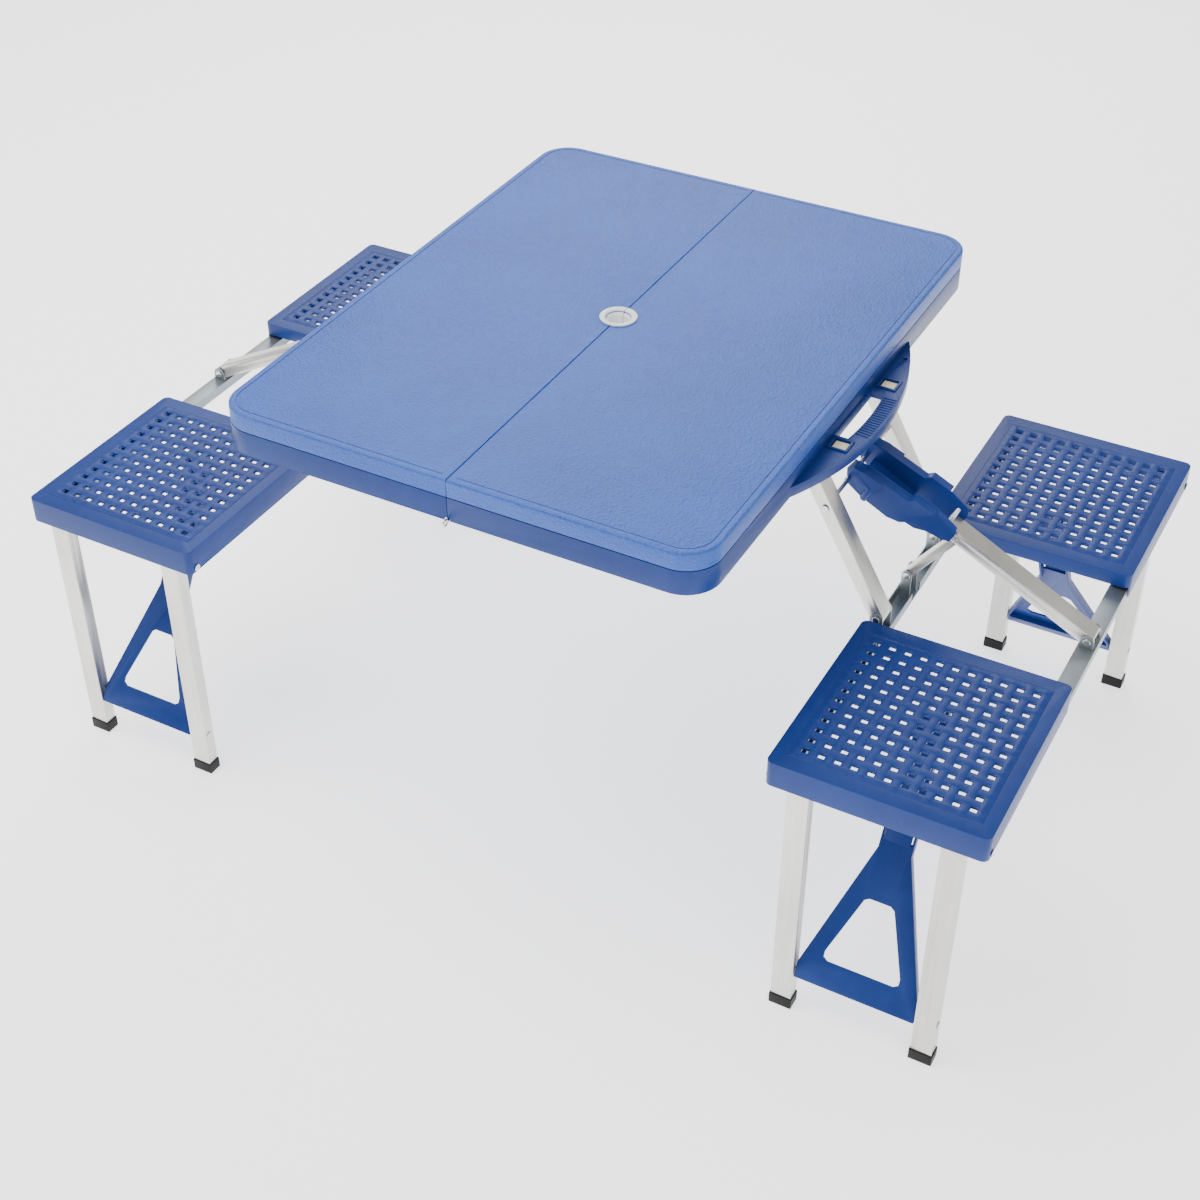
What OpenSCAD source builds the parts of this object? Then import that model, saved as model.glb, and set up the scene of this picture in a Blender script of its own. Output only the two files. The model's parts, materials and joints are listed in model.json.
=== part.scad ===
// Folding four-seat picnic table, open and ready for use.
// Origin on the floor under the middle of the tabletop, +Z up, +Y along the seam, +X to the right bench.

/* [Tabletop] */
// Width of the open tabletop, across both halves
table_width = 670; // [668:1:672]
// Length of the tabletop along the seam
table_length = 856; // [854:1:860]
// Height of the tabletop above the floor
table_height = 672; // [671:1:674]
// Plan radius of the outer corners
corner_radius = 46; // [36:1:50]
// Thickness of the moulded walls and of the top skin
wall = 3; // [2.6:0.1:3.2]
// Sideways reach of the carrying handle
handle_reach = 46; // [40:1:50]

/* [Seats] */
// Height of the seats above the floor
seat_height = 412; // [411:1:414]
// Depth of the seat skirt
skirt_depth = 36; // [30:1:37]
// Columns of holes across a seat
hole_columns = 11; // [7:1:12]
// Rows of holes along a seat
hole_rows = 12; // [9:1:13]

/* [Legs] */
// Wide side of the rectangular aluminium profile
profile_wide = 28; // [26:1:28]
// Narrow side of the rectangular aluminium profile
profile_thin = 18; // [16:1:18]
// Wall of the rectangular aluminium profile
profile_wall = 1.5; // [1.2:0.1:2]

/* [Hidden] */
$fn = 64;
eps = 0.02;
half_width = table_width / 2;
half_length = table_length / 2;
case_depth = 58;
rim_z = table_height - case_depth;
parting_z = table_height - 24;
seam_gap = 0.4;
fit = 0.05;
thin = profile_thin / 2;
wide = profile_wide / 2;

// Seam hinge, on the closing plane of the case
knuckle_r = 4.5;
hinge_pin_r = 1.6;

// Parasol hole
collar_r = 25;
pole_r = 12.5;
sleeve_r = 16;

// Bench frame: rails, seats and seat legs
seat_in = 420;
seat_out = 695;
seat_mid = (seat_in + seat_out) / 2;
seat_y_in = 123.5;
seat_y_out = 424;
skirt_wall = 2.5;
rail_z = 373;
rail_height = 14;
rail_width = 23.5;
rail_wall = 1.6;
rail_top = rail_z + rail_height;
inner_rail_x = 423;
outer_rail_x = 668.5;
rail_end = 416;
inner_leg_x = 448;
outer_leg_x = 639;
leg_y = 410;
leg_pivot_z = 382;
leg_rod_r = 2.9;
foot_height = 17;

// Seat-leg brace: hinge low on the legs, knee, and hinge under the seat
brace_z = 68;
seat_hinge_y = 220;
seat_hinge_z = 396;
brace_run = norm([seat_hinge_y - leg_y, seat_hinge_z - brace_z]);
link_length = 127.5;
plate_length = brace_run - link_length;
brace_angle = atan2(seat_hinge_z - brace_z, seat_hinge_y - leg_y);
fork_in = 18.6;
fork_out = 21.8;
link_half = 17.6;

// Table legs, strut and housing, seen along the seam as [across, up]
leg_top = [299, 651];
leg_foot = [inner_rail_x + rail_width / 2, 412];
leg_in_y = 88;
leg_out_y = leg_in_y + profile_wide;
pin_r = 3;
rod_at = 0.397;
rod_at_point = leg_top + (leg_foot - leg_top) * rod_at;
strut_foot = [outer_rail_x + rail_width / 2, 397.4];
strut_half = 8.6;
knee = [483.6, 499.6];
strut_angle = atan2(knee[1] - strut_foot[1], knee[0] - strut_foot[0]);
strut_length = norm(knee - strut_foot);
stay_top_run = 14;
stay_half = 10;
stay_thin = 5.5;
stay_top = knee - stay_top_run * [cos(strut_angle), sin(strut_angle)];
stay_foot = [leg_foot[0], 412];
housing_in = 21.5;
housing_out = 24;
shoulder = 36;
shoulder_step = 4.5;

// Placing helpers: everything is drawn for the right-hand bench and the back seats
module side(s) {
    if (s < 0) mirror([1, 0, 0]) children();
    else children();
}

module end(e) {
    if (e < 0) mirror([0, 1, 0]) children();
    else children();
}

// A profile drawn as [x, z], running from y0 to y1
module along_y(y0, y1) {
    translate([0, y1, 0]) rotate([90, 0, 0]) linear_extrude(y1 - y0) children();
}

// A profile drawn as [y, z], running from x0 to x1
module along_x(x0, x1) {
    translate([x0, 0, 0]) rotate([90, 0, 90]) linear_extrude(x1 - x0) children();
}

module block(x0, x1, y0, y1, z0, z1) {
    translate([x0, y0, z0]) cube([x1 - x0, y1 - y0, z1 - z0]);
}

module pin_x(x0, x1, y, z, r) {
    translate([x0, y, z]) rotate([0, 90, 0]) cylinder(r = r, h = x1 - x0);
}

module pin_y(y0, y1, x, z, r) {
    translate([x, y1, z]) rotate([90, 0, 0]) cylinder(r = r, h = y1 - y0);
}

// A bar with round ends from p to q
module bar(p, q, r) {
    run = norm(q - p);
    translate(p) rotate(atan2(q[1] - p[1], q[0] - p[0])) {
        translate([0, -r]) square([run, 2 * r]);
        circle(r);
        translate([run, 0]) circle(r);
    }
}

// Plan of one tabletop half, drawn in by inset from its outer edge
module half_plan(inset) {
    r = corner_radius - inset;
    x1 = half_width - inset;
    y1 = half_length - inset;
    seam = inset > 0 ? wall + seam_gap : seam_gap;
    translate([seam, -y1]) square([x1 - r - seam, 2 * y1]);
    translate([seam, r - y1]) square([x1 - seam, 2 * (y1 - r)]);
    for (y = [r - y1, y1 - r]) translate([x1 - r, y]) circle(r);
}

// Tabletop panel: top skin, short skirt and the lugs that carry the table legs
module panel() {
    lug = 9;
    groove_inset = 9;
    groove = 1.4;
    difference() {
        union() {
            difference() {
                translate([0, 0, parting_z]) linear_extrude(table_height - parting_z) half_plan(0);
                translate([0, 0, parting_z - 1])
                    linear_extrude(table_height - parting_z + 1 - wall) half_plan(wall);
            }
            for (s = [-1, 1]) for (y = [leg_in_y - 5.5, leg_out_y + 0.5]) {
                y0 = s < 0 ? -y - 5 : y;
                block(leg_top[0] - lug, leg_top[0] + lug, y0, y0 + 5, leg_top[1], table_height - wall + eps);
                pin_y(y0, y0 + 5, leg_top[0], leg_top[1], lug);
            }
        }
        translate([0, 0, table_height - 0.8]) linear_extrude(1) difference() {
            half_plan(groove_inset);
            half_plan(groove_inset + groove);
            translate([-1, -half_length]) square([wall + 8, table_length]);
        }
        translate([0, 0, parting_z - 1]) cylinder(r = sleeve_r + fit, h = 40);
        for (s = [-1, 1]) {
            y0 = s < 0 ? -leg_out_y - 8 : leg_in_y - 8;
            pin_y(y0, y0 + profile_wide + 16, leg_top[0], leg_top[1], pin_r + fit);
        }
    }
}

// Case rim: the lower wall of the half, its handle and its seam hinge knuckles
module rim(knuckles) {
    lip = 1.2;
    notch_half = 20;
    notch_r = knuckle_r + 14;
    difference() {
        union() {
            difference() {
                union() {
                    translate([0, 0, rim_z]) linear_extrude(parting_z - rim_z - lip) half_plan(0);
                    translate([0, 0, rim_z]) linear_extrude(parting_z - rim_z) half_plan(1);
                }
                translate([0, 0, rim_z - 1]) linear_extrude(case_depth) half_plan(wall);
                pin_y(-half_length - 1, half_length + 1, 0, rim_z, knuckle_r + 0.7);
            }
            handle();
            for (k = knuckles) for (s = [-1, 1]) {
                y0 = s < 0 ? -k[1] : k[0];
                pin_y(y0, y0 + k[1] - k[0], 0, rim_z, knuckle_r);
                block(0.6, wall + seam_gap + 3, y0, y0 + k[1] - k[0], rim_z, rim_z + 7);
            }
        }
        pin_y(-half_length - 1, half_length + 1, 0, rim_z, hinge_pin_r + fit);
        pin_y(-notch_half, notch_half, 0, rim_z, notch_r);
        translate([0, 0, rim_z - 1]) cylinder(r = sleeve_r + fit, h = parting_z - rim_z + 2);
    }
}

// Seam knuckles as [start, end] distances from the middle of the seam
right_knuckles = [[73, 91], [367, 395]];
left_knuckles = [[54, 72.6], [91.4, 110], [338, 366.6], [395.4, 423]];

// Carrying handle: a bow of a large circle with a grip opening, latch windows and ribs
handle_z0 = rim_z + 1;
handle_z1 = rim_z + 15;
chord = 195;
bow_r = (chord * chord + handle_reach * handle_reach) / (2 * handle_reach);
bow_x = half_width + handle_reach - bow_r;
window_y = 80;
window = 21;
window_x = half_width + 17;
latch_pad = 18;
module handle() {
    grip = 22;
    difference() {
        union() {
            translate([0, 0, handle_z0]) linear_extrude(handle_z1 - handle_z0) bow();
            for (s = [-1, 1]) translate([window_x, s * window_y, handle_z1 - eps])
                linear_extrude(2) window_frame(window + 6);
            for (i = [0:17]) {
                a = (i - 8.5) * 0.75;
                translate([bow_x, 0, handle_z1 - eps]) rotate(a)
                    translate([bow_r - grip + 2, -0.9, 0]) cube([grip - 5, 1.8, 1.1]);
            }
        }
        translate([0, 0, handle_z0 - 1]) linear_extrude(20) intersection() {
            translate([bow_x, 0]) circle(bow_r - grip, $fn = 180);
            translate([half_width + 1, -62]) square([60, 124]);
        }
        for (s = [-1, 1]) translate([window_x, s * window_y, handle_z0 - 1])
            linear_extrude(30) square(window, center = true);
        translate([half_width + 12, 150, handle_z0 - 1]) cylinder(r = 3, h = 30);
    }
}

module bow() {
    intersection() {
        translate([bow_x, 0]) circle(bow_r, $fn = 180);
        translate([half_width - wall, -chord - 20]) square([80, 2 * chord + 40]);
    }
}

module window_frame(outside) {
    difference() {
        square(outside, center = true);
        square(window, center = true);
    }
}

// Latch pads, each on a base that fills its window
module latches() {
    base_z = handle_z0 + 2;
    pad_z = handle_z0 + 5;
    for (s = [-1, 1]) {
        translate([window_x, s * window_y, base_z]) linear_extrude(pad_z - base_z)
            square([window, window - 1], center = true);
        translate([window_x, s * window_y, pad_z - eps]) linear_extrude(handle_z1 - 1 - pad_z)
            square(latch_pad, center = true);
    }
}

// Half of the white collar that lines the parasol hole
module collar() {
    intersection() {
        difference() {
            union() {
                translate([0, 0, table_height]) cylinder(r = collar_r, h = 2.2);
                translate([0, 0, parting_z - 6]) cylinder(r = sleeve_r, h = table_height - parting_z + 7);
            }
            translate([0, 0, parting_z - 10]) cylinder(r = pole_r, h = 60);
            translate([0, 0, table_height - 4]) cylinder(r1 = pole_r, r2 = collar_r - 6, h = 6.3);
        }
        block(seam_gap, 40, -40, 40, parting_z - 20, table_height + 10);
    }
}

// Seam hinge pins, each with an eye at its outer end
module hinge_pins() {
    for (s = [-1, 1]) end(s) {
        pin_y(50, half_length + 2, 0, rim_z, hinge_pin_r);
        translate([0, half_length + 5, rim_z]) rotate([0, 90, 0])
            rotate_extrude() translate([4, 0]) circle(1.2, $fn = 24);
    }
}

// Pair of table legs with their bores
module table_legs() {
    for (s = [-1, 1]) end(s) difference() {
        along_y(leg_in_y, leg_out_y) bar(leg_top, leg_foot, thin);
        along_y(leg_in_y + profile_wall, leg_out_y - profile_wall)
            bar_core(leg_top, leg_foot, thin - profile_wall);
        for (p = [leg_top, leg_foot]) pin_y(leg_in_y - 1, leg_out_y + 1, p[0], p[1], pin_r + fit);
        pin_y(leg_in_y - 1, leg_out_y + 1, rod_at_point[0], rod_at_point[1], pin_r + fit);
    }
}

module bar_core(p, q, r) {
    run = norm(q - p);
    translate(p) rotate(atan2(q[1] - p[1], q[0] - p[0])) translate([-20, -r]) square([run + 40, 2 * r]);
}

module cross_rod() {
    x = rod_at_point[0];
    z = rod_at_point[1];
    pin_y(-leg_out_y - 0.5, leg_out_y + 0.5, x, z, pin_r);
    for (s = [-1, 1]) end(s) pin_y(leg_out_y + 0.3, leg_out_y + 2.3, x, z, 5);
}

module leg_top_pins() {
    for (s = [-1, 1]) end(s) {
        pin_y(leg_in_y - 6, leg_out_y + 6, leg_top[0], leg_top[1], pin_r);
    }
}

// Bench rails: a channel open upward inside, and one open downward outside
module inner_rail() {
    x1 = inner_rail_x + rail_width;
    difference() {
        block(inner_rail_x, x1, -rail_end, rail_end, rail_z, rail_top);
        block(inner_rail_x + rail_wall, x1 - rail_wall, -rail_end - 1, rail_end + 1,
            rail_z + rail_wall, rail_top + 1);
        for (y = [-leg_y, leg_y]) pin_x(inner_rail_x - 1, x1 + 1, y, leg_pivot_z, leg_rod_r + fit);
        block(x1 - 3, x1 + 1, -stay_half - 4, stay_half + 4, rail_z + 3, rail_top + 1);
    }
}

module outer_rail() {
    x1 = outer_rail_x + rail_width;
    difference() {
        block(outer_rail_x, x1, -rail_end, rail_end, rail_z, rail_top);
        block(outer_rail_x + rail_wall, x1 - rail_wall, -rail_end - 1, rail_end + 1,
            rail_z - 1, rail_top - rail_wall);
        for (y = [-leg_y, leg_y]) pin_x(outer_rail_x - 1, x1 + 1, y, leg_pivot_z, leg_rod_r + fit);
    }
}

// Folded-up bracket: two ears around a member of the given half width, on a base at height z
module bracket(p, y, half, base_z, r) {
    ear = 2;
    gap = 0.5;
    for (s = [-1, 1]) {
        y0 = s < 0 ? y - half - gap - ear : y + half + gap;
        difference() {
            union() {
                block(p[0] - r, p[0] + r, y0, y0 + ear, base_z, p[1]);
                pin_y(y0, y0 + ear, p[0], p[1], r);
            }
            pin_y(y0 - 1, y0 + ear + 1, p[0], p[1], pin_r + fit);
        }
    }
    block(p[0] - r, p[0] + r, y - half - gap - ear, y + half + gap + ear, base_z, base_z + 1.4);
}

module rail_brackets() {
    floor_z = rail_z + rail_wall;
    leg_mid = (leg_in_y + leg_out_y) / 2;
    for (y = [-leg_mid, leg_mid]) bracket(leg_foot, y, wide, floor_z, 9);
    difference() {
        bracket(stay_foot, 0, stay_half, floor_z, 7);
        block(stay_foot[0] + 1, stay_foot[0] + 10, -stay_half, stay_half, floor_z + 1.4, rail_top);
    }
    bracket(strut_foot, 0, wide, rail_top, 9);
}

module rivet_y(p, y0, y1, r, head) {
    pin_y(y0, y1, p[0], p[1], r);
    pin_y(y0 - 1.6, y0 + eps, p[0], p[1], head);
    pin_y(y1 - eps, y1 + 1.6, p[0], p[1], head);
}

module bracket_rivets() {
    leg_mid = (leg_in_y + leg_out_y) / 2;
    reach = wide + 2.6;
    for (y = [-leg_mid, leg_mid]) rivet_y(leg_foot, y - reach, y + reach, pin_r, 5);
    rivet_y(strut_foot, -reach, reach, pin_r, 5);
    for (s = [-1, 1]) end(s) {
        pin_y(stay_half + 0.3, stay_half + 2.7, stay_foot[0], stay_foot[1], pin_r);
        pin_y(stay_half + 2.7 - eps, stay_half + 4.3, stay_foot[0], stay_foot[1], 5);
    }
}

// Diagonal strut: a channel open underneath, hinged to the outer rail
module strut() {
    difference() {
        along_y(-wide, wide) bar(strut_foot, knee, strut_half);
        along_y(-wide + 1.8, wide - 1.8) translate(strut_foot) rotate(strut_angle)
            translate([-20, 1.8 - strut_half]) square([strut_length + 40, 2 * strut_half]);
        pin_y(-wide - 1, wide + 1, strut_foot[0], strut_foot[1], pin_r + fit);
        pin_y(-wide - 1, wide + 1, knee[0], knee[1], pin_r + fit);
        pin_y(-wide - 1, wide + 1, stay_top[0], stay_top[1], 2 + fit);
    }
}

module knee_pins() {
    for (s = [-1, 1]) end(s) pin_y(wide - 1.8, housing_in - 0.6, knee[0], knee[1], pin_r);
    pin_y(-wide - 0.4, wide + 0.4, stay_top[0], stay_top[1], 2);
}

module strut_cap() {
    along_y(-10, 10) translate(knee) rotate(strut_angle) {
        translate([-1, -6]) square([9, 12]);
        translate([5.8, -22]) square([5, 18]);
    }
}

// Places a profile at the knee, turned along the strut
module at_knee() {
    translate(knee) rotate(strut_angle) children();
}

// Blue channel that joins the strut to the table legs
module housing() {
    difference() {
        union() {
            for (s = [-1, 1]) end(s) along_y(housing_in, housing_out) at_knee() housing_side();
            along_y(-housing_in, housing_in) at_knee() translate([62, 9.8]) square([70, 2.4]);
            for (s = [-1, 1]) end(s) {
                along_y(shoulder - 2.5, shoulder) at_knee() housing_outer();
                along_y(housing_in, shoulder) at_knee() housing_shoulder();
                along_y(shoulder - eps, shoulder + shoulder_step) at_knee() housing_step();
                translate([knee[0], shoulder, knee[1]]) rotate([0, -strut_angle, 0]) translate([112, 0, 2])
                    cylinder(r = 5, h = 23);
            }
        }
        bore_end = shoulder + shoulder_step + 1;
        pin_y(-bore_end, bore_end, rod_at_point[0], rod_at_point[1], pin_r + fit);
    }
}

module housing_side() {
    polygon([[-7, -10], [-3, -20], [28, -25], [60, -24], [66, -16], [130, -12], [150, -6],
        [152, 12], [146, 22], [118, 25.6], [70, 25.6], [56, 24], [38, 22], [24, 14], [4, 9], [-7, 4]]);
}

// Outer wall of the housing, its shoulder along the top edge and the thicker step at its upper end
module housing_outer() {
    polygon([[30, -24.5], [60, -23.5], [66, -15.5], [130, -11.5], [146, -7.5], [146, 20],
        [116, 25.4], [74, 25.4], [58, 20], [44, 6]]);
}

module housing_shoulder() {
    polygon([[30, -24.5], [60, -23.5], [66, -15.5], [130, -11.5], [146, -7.5], [146, -5],
        [130, -9], [65, -13], [59, -21], [30, -22]]);
}

module housing_step() {
    polygon([[104, -13], [130, -11.5], [146, -7.5], [146, 8], [104, 8]]);
}

module knee_stay() {
    difference() {
        along_y(-stay_half, stay_half) bar(stay_top, stay_foot, stay_thin);
        pin_y(-30, 30, stay_top[0], stay_top[1], 2 + fit);
        pin_y(-30, 30, stay_foot[0], stay_foot[1], pin_r + 0.5);
    }
}

// Cross rods of the bench: the two seat-leg rods and the two brace rods
module cross_rods() {
    for (s = [-1, 1]) end(s) {
        pin_x(seat_in - 0.5, seat_out + 0.5, leg_y, leg_pivot_z, leg_rod_r);
        pin_x(seat_in - 2, seat_in - 0.4, leg_y, leg_pivot_z, 5);
        pin_x(seat_out + 0.4, seat_out + 2, leg_y, leg_pivot_z, 5);
        pin_x(seat_mid - link_half, seat_mid + link_half, seat_hinge_y, seat_hinge_z, 2.5);
    }
}

// Seat: pierced top, skirt, pads that stand on the rails and lugs for the brace link
module seat() {
    top = seat_height;
    skin = 3;
    under = top - skin;
    r = 9;
    pitch_x = 20.7;
    pitch_y = 20.4;
    hole_x = 8.8 / 2;
    hole_y = 7.8 / 2;
    difference() {
        union() {
            difference() {
                seat_block(0, top - skirt_depth, top, r);
                seat_block(skirt_wall, top - skirt_depth - 1, under, r - skirt_wall);
            }
            for (y = [140, 270, 385]) {
                block(seat_in + skirt_wall + 0.5, seat_in + 26.5, y, y + 4, rail_top, under + eps);
                block(seat_out - 26.5, seat_out - skirt_wall - 0.5, y, y + 4, rail_top, under + eps);
            }
            for (s = [-1, 1]) {
                x0 = seat_mid + s * 10.3 - 2.2;
                block(x0, x0 + 4.4, seat_hinge_y - 7, seat_hinge_y + 7, seat_hinge_z, under + eps);
                pin_x(x0, x0 + 4.4, seat_hinge_y, seat_hinge_z, 7);
            }
        }
        for (i = [0:hole_columns - 1]) for (j = [0:hole_rows - 1]) {
            x = seat_mid + (i - (hole_columns - 1) / 2) * pitch_x;
            y = (seat_y_in + seat_y_out) / 2 + (j - (hole_rows - 1) / 2) * pitch_y;
            block(x - hole_x, x + hole_x, y - hole_y, y + hole_y, under - 1, top + 1);
        }
        block(seat_in + 2, seat_out - 2, seat_y_in - 1, seat_y_in + 8, rail_z - 1, leg_pivot_z + thin + 1);
        pin_x(seat_in - 1, seat_out + 1, leg_y, leg_pivot_z, leg_rod_r + fit);
        pin_x(seat_mid - 20, seat_mid + 20, seat_hinge_y, seat_hinge_z, 2.5 + fit);
    }
}

module seat_block(inset, z0, z1, r) {
    x0 = seat_in + inset;
    x1 = seat_out - inset;
    y0 = seat_y_in + inset;
    y1 = seat_y_out - inset;
    translate([0, 0, z0]) linear_extrude(z1 - z0) {
        translate([x0 + r, y0]) square([x1 - x0 - 2 * r, y1 - y0]);
        translate([x0, y0 + r]) square([x1 - x0, y1 - y0 - 2 * r]);
        for (x = [x0 + r, x1 - r]) for (y = [y0 + r, y1 - r]) translate([x, y]) circle(r);
    }
}

module seat_legs() {
    for (x = [inner_leg_x, outer_leg_x]) difference() {
        union() {
            block(x, x + profile_wide, leg_y - thin, leg_y + thin, 3, leg_pivot_z);
            pin_x(x, x + profile_wide, leg_y, leg_pivot_z, thin);
        }
        block(x + profile_wall, x + profile_wide - profile_wall,
            leg_y - thin + profile_wall, leg_y + thin - profile_wall, -1, seat_height);
        pin_x(x - 1, x + profile_wide + 1, leg_y, leg_pivot_z, leg_rod_r + fit);
        pin_x(x - 1, x + profile_wide + 1, leg_y, brace_z, pin_r + fit);
    }
}

module feet() {
    for (x = [inner_leg_x, outer_leg_x]) difference() {
        block(x - 1.5, x + profile_wide + 1.5, leg_y - thin - 1.5, leg_y + thin + 1.5, 0, foot_height);
        block(x - eps, x + profile_wide + eps, leg_y - thin - eps, leg_y + thin + eps, 3, foot_height + 1);
    }
}

module brace_pins() {
    for (x = [inner_leg_x, outer_leg_x]) {
        outer = x == outer_leg_x;
        pin_x(x - (outer ? 14 : 0), x + profile_wide + (outer ? 0 : 14), leg_y, brace_z, pin_r);
        head_x = outer ? x + profile_wide : x - 1;
        pin_x(head_x, head_x + 1, leg_y, brace_z, 5);
    }
}

// Brace plate in its own plane: u up the plate from its hinge, v across
module plate_outline() {
    bottom = seat_mid - inner_leg_x - profile_wide - 1;
    polygon([[-9, bottom], [12, bottom], [plate_length - 62, fork_out], [plate_length + 7, fork_out],
        [plate_length + 7, -fork_out], [plate_length - 62, -fork_out], [12, -bottom], [-9, -bottom]]);
}

module brace_plate() {
    bottom = seat_mid - inner_leg_x - profile_wide - 1;
    translate([seat_mid, leg_y, brace_z]) rotate([brace_angle, 0, 0]) rotate([0, 0, 90]) difference() {
        translate([0, 0, -6]) linear_extrude(12) plate_outline();
        translate([0, 0, -3]) linear_extrude(10) polygon([[7, bottom - 4], [13, bottom - 4],
            [plate_length - 63, fork_in], [plate_length + 20, fork_in], [plate_length + 20, -fork_in],
            [plate_length - 63, -fork_in], [13, 4 - bottom], [7, 4 - bottom]]);
        translate([0, 0, -10]) linear_extrude(20) polygon([[plate_length - 46, fork_in],
            [plate_length + 20, fork_in], [plate_length + 20, -fork_in], [plate_length - 46, -fork_in]]);
        translate([0, 0, -10]) linear_extrude(20) polygon([[26, 44], [30, 50], [38, 50], [118, 20],
            [122, 14], [122, -14], [118, -20], [38, -50], [30, -50], [26, -44]]);
        rotate([90, 0, 0]) translate([0, 0, -bottom - 1]) cylinder(r = pin_r + fit, h = 20);
        rotate([90, 0, 0]) translate([0, 0, bottom - 19]) cylinder(r = pin_r + fit, h = 20);
    }
}

// Brace link: side plates on the seat rod and a front plate whose tongue lies on the brace plate
module brace_link() {
    translate([seat_mid, seat_hinge_y, seat_hinge_z]) rotate([brace_angle + 180, 0, 0])
        rotate([0, 0, 90]) difference() {
        union() {
            for (s = [-1, 1]) {
                v0 = s < 0 ? -link_half : link_half - 4;
                translate([0, v0 + 4, 0]) rotate([90, 0, 0]) linear_extrude(4) {
                    circle(6);
                    translate([0, -4.5]) square([link_length - 4, 13.4]);
                }
            }
            translate([10, -link_half, 6.5]) cube([link_length + 40, 2 * link_half, 2.4]);
        }
        rotate([90, 0, 0]) translate([0, 0, -30]) cylinder(r = 2.5 + fit, h = 60);
    }
}

module blue(tone) {
    color([0.13, 0.26 + tone, 0.55 + tone]) children();
}

module alu() {
    color([0.8, 0.8, 0.78]) children();
}

module zinc() {
    color([0.5, 0.55, 0.58]) children();
}

module tabletop_panel_right() { blue(0.05) side(1) panel(); }
module tabletop_panel_left() { blue(0.05) side(-1) panel(); }
module case_rim_right() { blue(0) side(1) rim(right_knuckles); }
module case_rim_left() { blue(0) side(-1) rim(left_knuckles); }
module parasol_collar_right() { color("white") side(1) collar(); }
module parasol_collar_left() { color("white") side(-1) collar(); }
module seam_hinge_pins() { zinc() hinge_pins(); }
module case_latches_right() { color("ivory") side(1) latches(); }
module case_latches_left() { color("ivory") side(-1) latches(); }
module table_legs_right() { alu() side(1) table_legs(); }
module table_legs_left() { alu() side(-1) table_legs(); }
module leg_cross_rod_right() { zinc() side(1) cross_rod(); }
module leg_cross_rod_left() { zinc() side(-1) cross_rod(); }
module leg_top_pins_right() { zinc() side(1) leg_top_pins(); }
module leg_top_pins_left() { zinc() side(-1) leg_top_pins(); }
module inner_rail_right() { zinc() side(1) inner_rail(); }
module inner_rail_left() { zinc() side(-1) inner_rail(); }
module outer_rail_right() { zinc() side(1) outer_rail(); }
module outer_rail_left() { zinc() side(-1) outer_rail(); }
module rail_brackets_right() { zinc() side(1) rail_brackets(); }
module rail_brackets_left() { zinc() side(-1) rail_brackets(); }
module bracket_rivets_right() { zinc() side(1) bracket_rivets(); }
module bracket_rivets_left() { zinc() side(-1) bracket_rivets(); }
module diagonal_strut_right() { alu() side(1) strut(); }
module diagonal_strut_left() { alu() side(-1) strut(); }
module strut_end_cap_right() { color("white") side(1) strut_cap(); }
module strut_end_cap_left() { color("white") side(-1) strut_cap(); }
module knee_pins_right() { zinc() side(1) knee_pins(); }
module knee_pins_left() { zinc() side(-1) knee_pins(); }
module strut_housing_right() { blue(0) side(1) housing(); }
module strut_housing_left() { blue(0) side(-1) housing(); }
module knee_stay_right() { alu() side(1) knee_stay(); }
module knee_stay_left() { alu() side(-1) knee_stay(); }
module seat_cross_rods_right() { zinc() side(1) cross_rods(); }
module seat_cross_rods_left() { zinc() side(-1) cross_rods(); }
module seat_front_right() { blue(0) side(1) end(-1) seat(); }
module seat_back_right() { blue(0) side(1) end(1) seat(); }
module seat_front_left() { blue(0) side(-1) end(-1) seat(); }
module seat_back_left() { blue(0) side(-1) end(1) seat(); }
module seat_legs_front_right() { alu() side(1) end(-1) seat_legs(); }
module seat_legs_back_right() { alu() side(1) end(1) seat_legs(); }
module seat_legs_front_left() { alu() side(-1) end(-1) seat_legs(); }
module seat_legs_back_left() { alu() side(-1) end(1) seat_legs(); }
module feet_front_right() { color([0.08, 0.08, 0.08]) side(1) end(-1) feet(); }
module feet_back_right() { color([0.08, 0.08, 0.08]) side(1) end(1) feet(); }
module feet_front_left() { color([0.08, 0.08, 0.08]) side(-1) end(-1) feet(); }
module feet_back_left() { color([0.08, 0.08, 0.08]) side(-1) end(1) feet(); }
module brace_pins_front_right() { zinc() side(1) end(-1) brace_pins(); }
module brace_pins_back_right() { zinc() side(1) end(1) brace_pins(); }
module brace_pins_front_left() { zinc() side(-1) end(-1) brace_pins(); }
module brace_pins_back_left() { zinc() side(-1) end(1) brace_pins(); }
module brace_plate_front_right() { blue(0) side(1) end(-1) brace_plate(); }
module brace_plate_back_right() { blue(0) side(1) end(1) brace_plate(); }
module brace_plate_front_left() { blue(0) side(-1) end(-1) brace_plate(); }
module brace_plate_back_left() { blue(0) side(-1) end(1) brace_plate(); }
module brace_link_front_right() { blue(0) side(1) end(-1) brace_link(); }
module brace_link_back_right() { blue(0) side(1) end(1) brace_link(); }
module brace_link_front_left() { blue(0) side(-1) end(-1) brace_link(); }
module brace_link_back_left() { blue(0) side(-1) end(1) brace_link(); }

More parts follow.
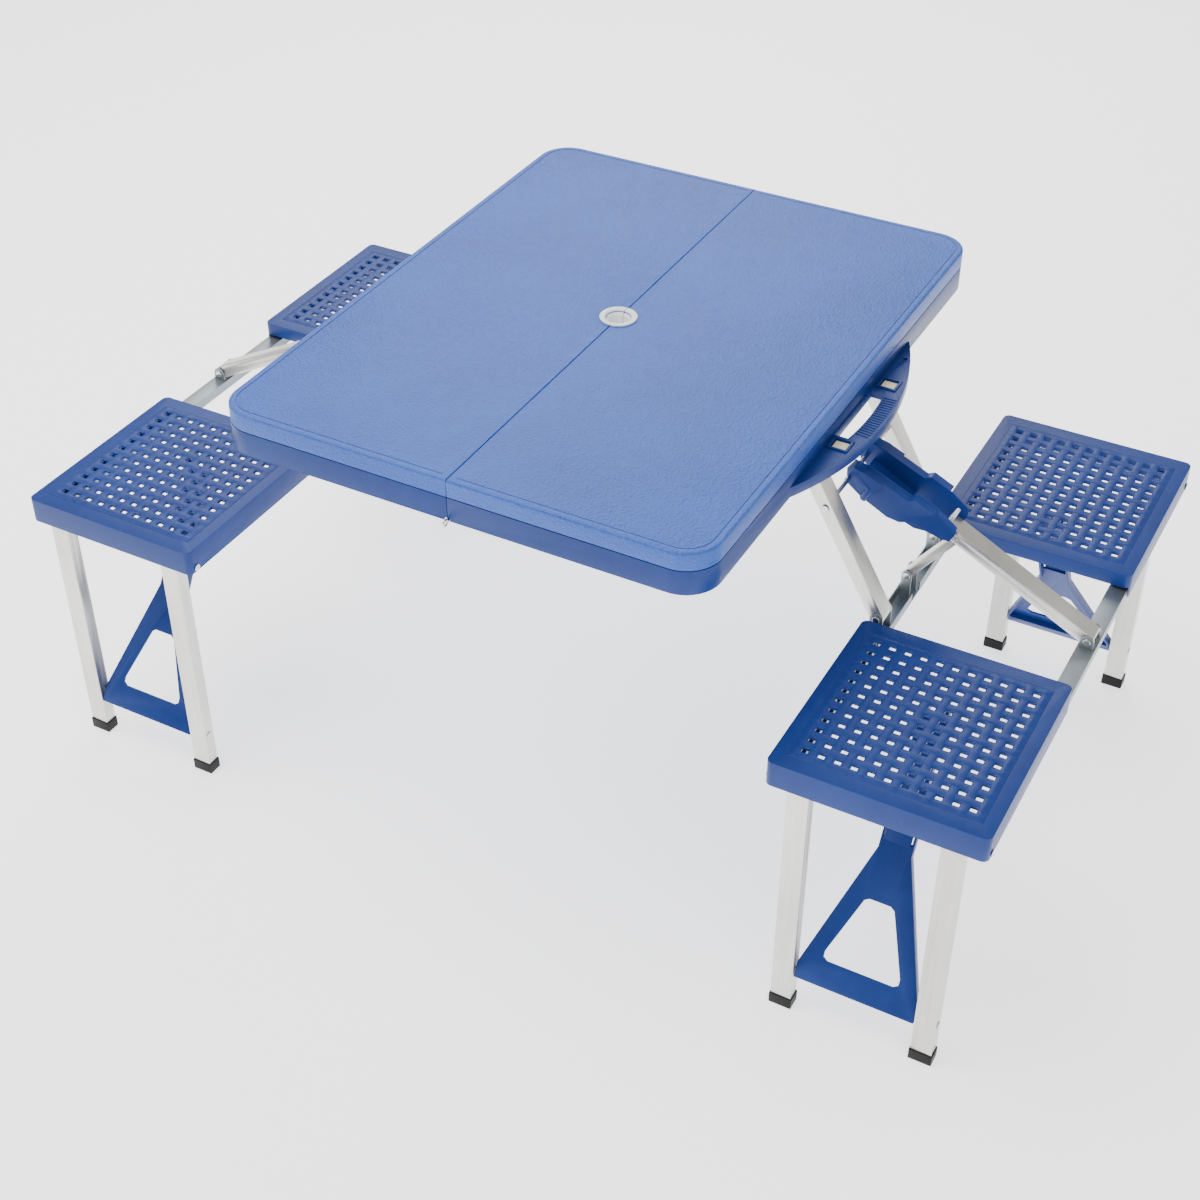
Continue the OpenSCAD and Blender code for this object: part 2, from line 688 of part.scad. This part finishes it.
tabletop_panel_right();
tabletop_panel_left();
case_rim_right();
case_rim_left();
parasol_collar_right();
parasol_collar_left();
seam_hinge_pins();
case_latches_right();
case_latches_left();
table_legs_right();
table_legs_left();
leg_cross_rod_right();
leg_cross_rod_left();
leg_top_pins_right();
leg_top_pins_left();
inner_rail_right();
inner_rail_left();
outer_rail_right();
outer_rail_left();
rail_brackets_right();
rail_brackets_left();
bracket_rivets_right();
bracket_rivets_left();
diagonal_strut_right();
diagonal_strut_left();
strut_end_cap_right();
strut_end_cap_left();
knee_pins_right();
knee_pins_left();
strut_housing_right();
strut_housing_left();
knee_stay_right();
knee_stay_left();
seat_cross_rods_right();
seat_cross_rods_left();
seat_front_right();
seat_back_right();
seat_front_left();
seat_back_left();
seat_legs_front_right();
seat_legs_back_right();
seat_legs_front_left();
seat_legs_back_left();
feet_front_right();
feet_back_right();
feet_front_left();
feet_back_left();
brace_pins_front_right();
brace_pins_back_right();
brace_pins_front_left();
brace_pins_back_left();
brace_plate_front_right();
brace_plate_back_right();
brace_plate_front_left();
brace_plate_back_left();
brace_link_front_right();
brace_link_back_right();
brace_link_front_left();
brace_link_back_left();
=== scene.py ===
# Folding picnic table, dressed for rendering over its CAD frame. Lengths are metres, +Z is up.
import json
import math
import bmesh
import bpy
import numpy as np
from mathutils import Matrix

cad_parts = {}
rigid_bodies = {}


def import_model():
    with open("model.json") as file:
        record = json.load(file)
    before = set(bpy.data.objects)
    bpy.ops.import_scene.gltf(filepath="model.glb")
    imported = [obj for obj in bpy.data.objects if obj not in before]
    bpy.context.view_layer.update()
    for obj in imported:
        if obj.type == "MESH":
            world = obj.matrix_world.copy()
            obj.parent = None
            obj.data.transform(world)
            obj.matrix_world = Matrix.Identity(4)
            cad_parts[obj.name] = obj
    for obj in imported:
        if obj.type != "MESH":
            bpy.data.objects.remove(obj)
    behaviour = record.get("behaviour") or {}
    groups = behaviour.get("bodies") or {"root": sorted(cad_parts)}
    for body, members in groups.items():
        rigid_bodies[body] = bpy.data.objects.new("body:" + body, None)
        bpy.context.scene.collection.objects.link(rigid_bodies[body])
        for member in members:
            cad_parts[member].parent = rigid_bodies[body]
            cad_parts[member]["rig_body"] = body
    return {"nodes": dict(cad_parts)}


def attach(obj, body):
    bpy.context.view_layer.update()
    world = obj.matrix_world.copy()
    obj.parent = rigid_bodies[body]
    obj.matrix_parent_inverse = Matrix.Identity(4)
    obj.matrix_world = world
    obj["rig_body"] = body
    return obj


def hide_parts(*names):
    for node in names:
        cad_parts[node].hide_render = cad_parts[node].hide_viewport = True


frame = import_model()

print("frame loaded")
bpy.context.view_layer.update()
sides = {"right": 1, "left": -1}
ends = {"front": -1, "back": 1}
nodes = frame["nodes"]


# shader helpers
class Term:
    # a number that varies over the surface: each operator adds one Math node
    def __init__(self, finish, socket):
        self.finish = finish
        self.socket = socket

    def math(self, operation, first, second):
        made = self.finish.node("ShaderNodeMath", {"operation": operation}, {0: first, 1: second})
        return Term(self.finish, made.outputs[0])

    def __add__(self, other):
        return self.math("ADD", self, other)

    def __sub__(self, other):
        return self.math("SUBTRACT", self, other)

    def __rsub__(self, other):
        return self.math("SUBTRACT", other, self)

    def __mul__(self, other):
        return self.math("MULTIPLY", self, other)

    __radd__ = __add__
    __rmul__ = __mul__


class Finish:
    # one material: node() makes any node, the other methods are the few patterns used here
    def __init__(self, name, **shader):
        self.material = bpy.data.materials.new(name)
        self.material.use_nodes = True
        self.tree = self.material.node_tree
        self.shader = self.tree.nodes["Principled BSDF"]
        self.coords = self.node("ShaderNodeTexCoord").outputs["Object"]
        self.feed(shader)

    def node(self, kind, settings=None, inputs=None):
        made = self.tree.nodes.new(kind)
        for key, value in (settings or {}).items():
            if key == "stops":
                ramp = made.color_ramp.elements
                while len(ramp) < len(value):
                    ramp.new(0.5)
                for element, (place, colour) in zip(ramp, value):
                    element.position = place
                    element.color = colour
            else:
                setattr(made, key, value)
        self.join(made, inputs or {})
        return made

    def join(self, made, inputs):
        for key, value in inputs.items():
            socket = made.inputs[key]
            if isinstance(value, Term):
                self.tree.links.new(value.socket, socket)
            elif isinstance(value, bpy.types.NodeSocket):
                self.tree.links.new(value, socket)
            else:
                socket.default_value = value

    def feed(self, inputs):
        self.join(self.shader, {key.replace("_", " "): value for key, value in inputs.items()})

    # object coordinates, stretched along their own axes and then turned
    def place(self, stretch=(1, 1, 1), turn=(0, 0, 0)):
        inputs = {"Vector": self.coords, "Scale": stretch, "Rotation": turn}
        return self.node("ShaderNodeMapping", None, inputs).outputs[0]

    def noise(self, scale, detail=2.0, stretch=(1, 1, 1), turn=(0, 0, 0)):
        made = self.node("ShaderNodeTexNoise", None,
                         {"Vector": self.place(stretch, turn), "Scale": scale, "Detail": detail})
        return Term(self, made.outputs[0])

    def cells(self, scale, stretch=(1, 1, 1), turn=(0, 0, 0), feature="F1"):
        made = self.node("ShaderNodeTexVoronoi", {"feature": feature},
                         {"Vector": self.place(stretch, turn), "Scale": scale})
        return Term(self, made.outputs["Distance"])

    # 0 below low, 1 above high, and a straight run between them
    def between(self, value, low, high):
        made = self.node("ShaderNodeMapRange", None, {"Value": value, "From Min": low, "From Max": high})
        return Term(self, made.outputs[0])

    def tint(self, factor, first, second):
        made = self.node("ShaderNodeMix", {"data_type": "RGBA"}, {0: factor, 6: first, 7: second})
        return made.outputs[2]

    def bump(self, height, depth, strength=1.0, normal=None):
        inputs = {"Height": height, "Distance": depth, "Strength": strength}
        if normal is not None:
            inputs["Normal"] = normal
        return self.node("ShaderNodeBump", None, inputs).outputs[0]


def rgb(red, green, blue):
    return (red, green, blue, 1.0)


# moulded plastic: slow colour drift, faint cloudy flow marks, a fine or a pebbled grain, thin scuffs
plastics = {
    "grainedBlue": {"dark": rgb(0.018, 0.078, 0.375), "light": rgb(0.026, 0.104, 0.455),
                    "rough": 0.42, "gloss": 0.42, "grain": 300.0, "depth": 0.0013,
                    "scuff": 0.05, "drift": 0.10},
    "satinBlue": {"dark": rgb(0.006, 0.027, 0.160), "light": rgb(0.010, 0.040, 0.215),
                  "rough": 0.36, "gloss": 0.26, "grain": 900.0, "depth": 0.00012,
                  "scuff": 0.08, "drift": 0.12},
    "whiteMoulded": {"dark": rgb(0.72, 0.76, 0.76), "light": rgb(0.84, 0.86, 0.85),
                     "rough": 0.36, "gloss": 0.5, "grain": 1500.0, "depth": 0.00004,
                     "scuff": 0.05, "drift": 0.14},
    "ivoryMoulded": {"dark": rgb(0.80, 0.69, 0.42), "light": rgb(0.92, 0.83, 0.55),
                     "rough": 0.40, "gloss": 0.5, "grain": 1400.0, "depth": 0.00005,
                     "scuff": 0.05, "drift": 0.14},
    "blackRubber": {"dark": rgb(0.004, 0.004, 0.005), "light": rgb(0.012, 0.012, 0.012),
                    "rough": 0.55, "gloss": 0.22, "grain": 1100.0, "depth": 0.00012,
                    "scuff": 0.20, "drift": 0.14},
}


def plastic(name):
    look = plastics[name]
    made = Finish(name)
    cloud = made.noise(7.0, 3.0)
    flow = made.noise(42.0, 4.0)
    mixed = cloud * 0.65 + flow * 0.35
    colour = made.tint(made.between(mixed, 0.30, 0.70), look["dark"], look["light"])
    # scuffs are thin bright scratches where a stretched noise peaks
    scuff = made.between(made.noise(60.0, 5.0, (1.0, 0.14, 1.0), (0, 0, 0.6)), 0.66, 0.74) * look["scuff"]
    paler = tuple(min(1.0, channel * 1.5 + 0.05) for channel in look["light"][:3]) + (1.0,)
    colour = made.tint(scuff, colour, paler)
    rough = mixed * look["drift"] + (look["rough"] - look["drift"] / 2) + scuff * 0.5
    pebble = made.cells(look["grain"], feature="SMOOTH_F1")
    fine = made.noise(look["grain"] * 1.8, 2.0)
    normal = made.bump(pebble * 0.7 + fine * 0.45, look["depth"])
    made.feed({"Base Color": colour, "Roughness": rough, "Normal": normal})
    made.feed({"IOR": 1.48, "Specular IOR Level": look["gloss"]})
    return made.material


# metal: hair lines up the piece, cloudy tarnish, small nicks
metals = {
    "profileAluminium": {"dark": rgb(0.50, 0.49, 0.455), "light": rgb(0.74, 0.73, 0.68),
                         "metal": 0.94, "rough": 0.30, "lines": 1.0},
    "zincSteel": {"dark": rgb(0.20, 0.235, 0.25), "light": rgb(0.36, 0.40, 0.42),
                  "metal": 0.80, "rough": 0.42, "lines": 0.5},
    "brightSteel": {"dark": rgb(0.50, 0.50, 0.50), "light": rgb(0.74, 0.74, 0.73),
                    "metal": 1.0, "rough": 0.28, "lines": 0.3},
}


# the lines always run along +Z: turn comes after the stretch, so it shifts the pattern, not its direction
def metal(kind, name, turn=(0, 0, 0)):
    look = metals[kind]
    made = Finish(name)
    line = made.noise(1.0, 3.0, (1500.0, 1500.0, 7.0), turn)
    cloud = made.noise(11.0, 4.0, (1, 1, 0.4), turn)
    nick = made.between(made.noise(160.0, 6.0, (1, 1, 0.3), turn), 0.68, 0.74)
    colour = made.tint(made.between(cloud * 0.6 + line * 0.4, 0.34, 0.66), look["dark"], look["light"])
    colour = made.tint(nick * 0.35, colour, look["dark"])
    rough = line * 0.16 * look["lines"] + cloud * 0.12 + (look["rough"] - 0.12) + nick * 0.12
    normal = made.bump(line * look["lines"] + nick * -0.4, 0.00005)
    made.feed({"Base Color": colour, "Roughness": rough, "Metallic": look["metal"], "Normal": normal})
    return made.material


finishes = {name: plastic(name) for name in plastics}
# ends of the slanted members, across and up
pivots = {"legTop": (0.299, 0.651), "legFoot": (0.43475, 0.412), "strutFoot": (0.68025, 0.3974),
          "knee": (0.4836, 0.4996), "stayTop": (0.496, 0.4931)}


# angle from upright of the run between two pivots
def lean(start, finish):
    return math.atan2(pivots[finish][0] - pivots[start][0], pivots[finish][1] - pivots[start][1])


legTurn = lean("legTop", "legFoot")
strutTurn = lean("strutFoot", "knee")
stayTurn = lean("stayTop", "legFoot")
alongY = (math.pi / 2, 0, 0)
for side, s in sides.items():
    finishes["leg_" + side] = metal("profileAluminium", "tableLegAluminium_" + side, (0, -s * legTurn, 0))
    finishes["strut_" + side] = metal("profileAluminium", "strutAluminium_" + side, (0, -s * strutTurn, 0))
    finishes["stay_" + side] = metal("profileAluminium", "stayAluminium_" + side, (0, -s * stayTurn, 0))
finishes["seatLeg"] = metal("profileAluminium", "seatLegAluminium")
finishes["rail"] = metal("zincSteel", "railSteel", alongY)
finishes["bracket"] = metal("zincSteel", "bracketSteel")
finishes["rivet"] = metal("brightSteel", "rivetSteel")
print("materials made")


def shade(piece, finish):
    piece.data.materials.clear()
    piece.data.materials.append(finishes[finish])


# A CAD solid with its corners merged, its flat faces joined and its edges rounded by a Bevel modifier.
# weigh(edge) gives the share of width that an edge takes; without it every sharp edge takes it all.
def soften(node, width, finish, weigh=None, segments=3):
    mesh = nodes[node].data.copy()
    mesh.name = "soft_" + node
    work = bmesh.new()
    work.from_mesh(mesh)
    bmesh.ops.remove_doubles(work, verts=work.verts, dist=2e-6)
    bmesh.ops.dissolve_limit(work, angle_limit=math.radians(0.5), verts=work.verts, edges=work.edges)
    layer = work.edges.layers.float.new("bevel_weight_edge")
    for edge in work.edges:
        if edge.is_manifold and edge.calc_face_angle(0.0) > math.radians(28):
            edge[layer] = weigh(edge) if weigh else 1.0
    for face in work.faces:
        face.smooth = True
    work.to_mesh(mesh)
    work.free()
    piece = bpy.data.objects.new("soft_" + node, mesh)
    bpy.context.scene.collection.objects.link(piece)
    bevel = piece.modifiers.new("roundedEdges", "BEVEL")
    bevel.limit_method = "WEIGHT"
    bevel.width = width
    bevel.segments = segments
    bevel.harden_normals = True
    bevel.use_clamp_overlap = True
    shade(piece, finish)
    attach(piece, nodes[node]["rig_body"])
    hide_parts(node)
    return piece


# distance outside a rounded rectangle centred on the origin: 0 on its outline, less inside
def fromOutline(x, y, halfX, halfY, radius):
    ax = max(abs(x) - (halfX - radius), 0.0)
    ay = max(abs(y) - (halfY - radius), 0.0)
    if ax == 0.0 or ay == 0.0:
        return max(abs(x) - halfX, abs(y) - halfY)
    return math.hypot(ax, ay) - radius


tabletop = {"halfX": 0.335, "halfY": 0.428, "corner": 0.046, "top": 0.672, "parting": 0.648, "low": 0.614}
bow = {"reach": 0.046, "chord": 0.195, "gripHalf": 0.0625, "edgeBelow": 0.6295}
bowRadius = (bow["chord"] ** 2 + bow["reach"] ** 2) / (2 * bow["reach"])
bowCentre = tabletop["halfX"] + bow["reach"] - bowRadius


def onOutline(point):
    gap = fromOutline(point.x, point.y, tabletop["halfX"], tabletop["halfY"], tabletop["corner"])
    return abs(gap) < 0.0002


# the panel's top outer edge is rounded fully, its seam edge a little, every other edge hardly
def panelWeight(edge):
    a, b = (v.co for v in edge.verts)
    atTop = min(a.z, b.z) > tabletop["top"] - 0.0001
    if atTop and onOutline(a) and onOutline(b) and max(abs(a.x), abs(b.x)) > 0.001:
        return 1.0
    if atTop and max(abs(a.x), abs(b.x)) < 0.001:
        return 0.35
    if max(a.z, b.z) < tabletop["parting"] + 0.0001 and onOutline(a) and onOutline(b):
        return 0.16
    return 0.08


# the rim's bottom outer edge and the handle's outer and grip edges are rounded, the rest hardly
def rimWeight(edge):
    a, b = (v.co for v in edge.verts)
    flat = abs(a.z - b.z) < 0.0001
    if flat and max(a.z, b.z) < tabletop["low"] + 0.0001 and onOutline(a) and onOutline(b):
        return 0.7
    outside = min(abs(a.x), abs(b.x)) > tabletop["halfX"] + 0.0002
    if flat and outside:
        reach = [math.hypot(abs(p.x) - bowCentre, p.y) for p in (a, b)]
        if min(reach) > bowRadius - 0.0003 and a.z < bow["edgeBelow"]:
            return 1.0
        if max(abs(a.y), abs(b.y)) < bow["gripHalf"] and a.z < bow["edgeBelow"]:
            return 0.75
    return 0.12


seat = {"x0": 0.420, "x1": 0.695, "y0": 0.1235, "y1": 0.424, "top": 0.412, "corner": 0.009}


# the seat's top outer edge is rounded fully, its foot a little, hole edges hardly
def seatWeight(edge):
    a, b = (v.co for v in edge.verts)
    flat = abs(a.z - b.z) < 0.0001
    halfX = (seat["x1"] - seat["x0"]) / 2
    halfY = (seat["y1"] - seat["y0"]) / 2
    for p in (a, b):
        x = abs(p.x) - (seat["x0"] + seat["x1"]) / 2
        y = abs(p.y) - (seat["y0"] + seat["y1"]) / 2
        if abs(fromOutline(x, y, halfX, halfY, seat["corner"])) > 0.0003:
            return 0.06
    if flat and a.z > seat["top"] - 0.0001:
        return 1.0
    return 0.22 if flat else 0.1


for side, s in sides.items():
    soften("tabletop_panel_" + side, 0.0048, "grainedBlue", panelWeight, 4)
    soften("case_rim_" + side, 0.0034, "satinBlue", rimWeight)
    soften("parasol_collar_" + side, 0.0008, "whiteMoulded")
    soften("case_latches_" + side, 0.0006, "ivoryMoulded")
    soften("table_legs_" + side, 0.0011, "leg_" + side)
    soften("leg_cross_rod_" + side, 0.0006, "rivet")
    soften("leg_top_pins_" + side, 0.0005, "rivet")
    soften("inner_rail_" + side, 0.0008, "rail")
    soften("outer_rail_" + side, 0.0012, "rail")
    soften("rail_brackets_" + side, 0.0005, "bracket")
    soften("bracket_rivets_" + side, 0.0011, "rivet")
    soften("diagonal_strut_" + side, 0.0014, "strut_" + side)
    soften("strut_end_cap_" + side, 0.0016, "whiteMoulded")
    soften("knee_pins_" + side, 0.0005, "rivet")
    soften("strut_housing_" + side, 0.0011, "satinBlue")
    soften("knee_stay_" + side, 0.0012, "stay_" + side)
    soften("seat_cross_rods_" + side, 0.0010, "rivet")
    for end in ends:
        both = end + "_" + side
        soften("seat_" + both, 0.0050, "satinBlue", seatWeight, 4)
        soften("seat_legs_" + both, 0.0012, "seatLeg")
        soften("feet_" + both, 0.0016, "blackRubber")
        soften("brace_pins_" + both, 0.0006, "rivet")
        soften("brace_plate_" + both, 0.0012, "satinBlue")
        soften("brace_link_" + both, 0.0009, "satinBlue")
soften("seam_hinge_pins", 0.0003, "rivet")
print("solids softened")

# woven relief on the seats: strips run both ways between the holes and pass over each other by turns
weave = {"pitchX": 0.0207, "pitchY": 0.0204, "columns": 11, "rows": 12, "holeX": 0.0085, "holeY": 0.0075,
         "lift": 0.0015, "foot": 0.00003, "steps": 9, "skin": 0.0006}


# positions along one direction: a step over each hole, then even steps over each strip between holes
def weaveLines(count, pitch, hole):
    stripWidth = pitch - hole
    lines, gaps = [], []
    for index in range(count + 1):
        start = (index - (count + 1) / 2) * pitch + hole / 2
        lines.extend(start + stripWidth * np.arange(weave["steps"] + 1) / weave["steps"])
        gaps.extend([False] * weave["steps"] + [True])
    return np.array(lines), np.array(gaps[:-1])


# a strip's height is its rounded cross-section times a wave that is high at every second crossing
def stripHeight(along, across, pitch, count, otherPitch, otherCount, hole, phase):
    lane = np.round(across / pitch + (count + 1) / 2 - 0.5)
    middle = (lane - count / 2) * pitch
    offset = (across - middle) / ((pitch - hole) / 2)
    section = np.sqrt(np.clip(1 - offset ** 2, 0, 1))
    crossing = along / otherPitch + otherCount / 2
    wave = np.cos(math.pi * (crossing + lane + phase))
    return section * (0.42 + 0.58 * (0.5 + 0.5 * wave))


def seatWeave(end, side):
    across, acrossGap = weaveLines(weave["columns"], weave["pitchX"], weave["holeX"])
    along, alongGap = weaveLines(weave["rows"], weave["pitchY"], weave["holeY"])
    x, y = np.meshgrid(across, along, indexing="ij")
    lengthwise = stripHeight(y, x, weave["pitchX"], weave["columns"], weave["pitchY"], weave["rows"],
                             weave["holeX"], 0)
    crosswise = stripHeight(x, y, weave["pitchY"], weave["rows"], weave["pitchX"], weave["columns"],
                            weave["holeY"], 1)
    # the relief fades out over the last strip, so it meets the flat border of the seat
    edge = np.minimum((across[-1] - abs(x)) / weave["pitchX"], (along[-1] - abs(y)) / weave["pitchY"]) / 0.35
    height = np.maximum(lengthwise, crosswise) * weave["lift"] * np.clip(edge, 0, 1) + weave["foot"]
    middleX = sides[side] * (seat["x0"] + seat["x1"]) / 2
    middleY = ends[end] * (seat["y0"] + seat["y1"]) / 2
    points = np.stack([x + middleX, y + middleY, height + seat["top"]], axis=-1).reshape(-1, 3)
    rows = len(along)
    first = (np.arange(len(across) - 1)[:, None] * rows + np.arange(rows - 1)[None, :])
    kept = first[~(acrossGap[:, None] & alongGap[None, :])]
    faces = np.stack([kept, kept + rows, kept + rows + 1, kept + 1], axis=-1)
    mesh = bpy.data.meshes.new("seatWeave_" + end + "_" + side)
    mesh.from_pydata(points.tolist(), [], faces.tolist())
    mesh.polygons.foreach_set("use_smooth", [True] * len(faces))
    piece = bpy.data.objects.new(mesh.name, mesh)
    bpy.context.scene.collection.objects.link(piece)
    thick = piece.modifiers.new("skin", "SOLIDIFY")
    thick.thickness = weave["skin"]
    thick.offset = -1.0
    shade(piece, "satinBlue")
    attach(piece, "bench_frame_" + side)


for side in sides:
    for end in ends:
        seatWeave(end, side)
print("seats woven")

# camera, floor and light
studio = {"world": 0.72, "key": 110.0, "fill": 26.0, "back": 75.0, "floorGlow": 1.5}
camera = bpy.data.cameras.new("camera")
camera.lens = 57.73
camera.sensor_width = 36.0
eye = bpy.data.objects.new("camera", camera)
eye.location = (1.0341, -1.9619, 1.9387)
eye.rotation_euler = (math.radians(51.91), 0, math.radians(28.42))
bpy.context.scene.collection.objects.link(eye)
bpy.context.scene.camera = eye

floorMesh = bpy.data.meshes.new("floor")
spread = 9.0
corners = [(-spread, -spread, 0), (spread, -spread, 0), (spread, spread, 0), (-spread, spread, 0)]
floorMesh.from_pydata(corners, [], [(0, 1, 2, 3)])
floor = bpy.data.objects.new("floor", floorMesh)
bpy.context.scene.collection.objects.link(floor)
ground = Finish("paleFloor", Roughness=0.9)
ground.feed({"Emission Color": rgb(1.0, 1.0, 1.0), "Emission Strength": studio["floorGlow"]})
shadeOfFloor = ground.noise(1.5, 2.0)
ground.feed({"Base Color": ground.tint(shadeOfFloor, rgb(0.94, 0.94, 0.94), rgb(0.97, 0.97, 0.97))})
floorMesh.materials.append(ground.material)

world = bpy.data.worlds.new("studio")
world.use_nodes = True
world.node_tree.nodes["Background"].inputs[0].default_value = rgb(1.0, 1.0, 1.0)
world.node_tree.nodes["Background"].inputs[1].default_value = studio["world"]
bpy.context.scene.world = world


def softbox(name, power, size, place, aim):
    lamp = bpy.data.lights.new(name, "AREA")
    lamp.energy = power
    lamp.shape = "RECTANGLE"
    lamp.size, lamp.size_y = size
    box = bpy.data.objects.new(name, lamp)
    box.location = place
    toward = np.array(aim, float) - np.array(place, float)
    yaw = math.atan2(toward[1], toward[0]) - math.pi / 2
    pitch = math.atan2(math.hypot(toward[0], toward[1]), -toward[2])
    box.rotation_euler = (pitch, 0, yaw)
    bpy.context.scene.collection.objects.link(box)


softbox("keyLight", studio["key"], (2.4, 2.4), (-1.2, -0.6, 3.4), (0, 0, 0.4))
softbox("fillLight", studio["fill"], (2.0, 1.6), (2.6, -2.4, 2.0), (0, 0, 0.4))
softbox("backLight", studio["back"], (3.2, 1.8), (-1.5, 2.9, 2.7), (0, 0, 0.6))
print("studio set")
